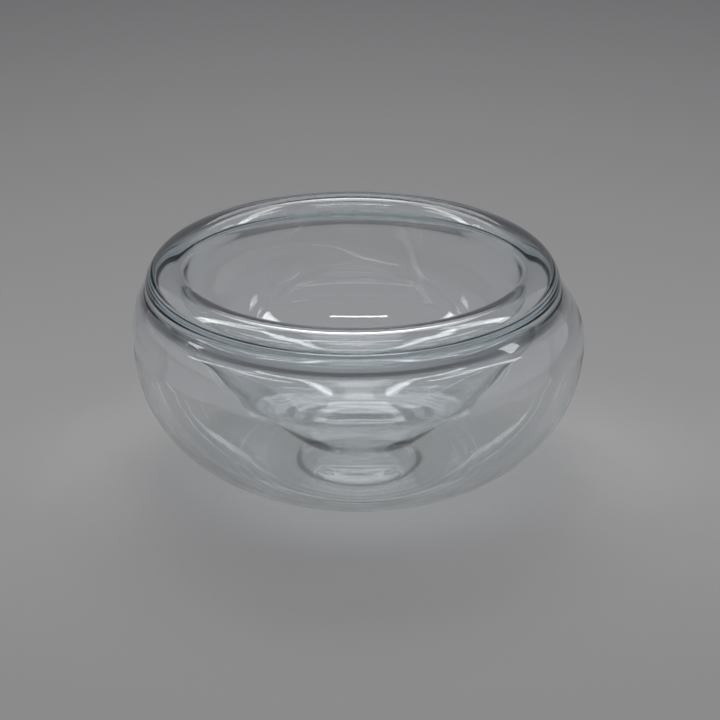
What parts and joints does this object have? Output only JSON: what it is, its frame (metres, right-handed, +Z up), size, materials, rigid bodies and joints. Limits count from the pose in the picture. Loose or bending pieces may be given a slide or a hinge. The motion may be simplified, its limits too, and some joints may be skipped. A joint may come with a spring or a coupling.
{
  "type": "double-walled glass bowl",
  "caption": "Squat clear glass bowl with a sealed double wall: a thin inner bowl hangs from a rolled rim inside the outer wall. For holding liquid or loose things.",
  "frame": {"origin": "middle of the standing ring, on the plane that the bowl stands on", "axes": "+Z up along the bowl's axis of revolution, towards the mouth; X and Y are equivalent"},
  "size_m": [0.308, 0.308, 0.1544],
  "materials": {
    "clear_glass": "fire-polished clear glass, faintly teal where it is thick"
  },
  "bodies": {
    "root": {"outer_wall": "clear_glass", "inner_bowl": "clear_glass", "rolled_rim": "clear_glass", "base_disc": "clear_glass"}
  },
  "joints": []
}
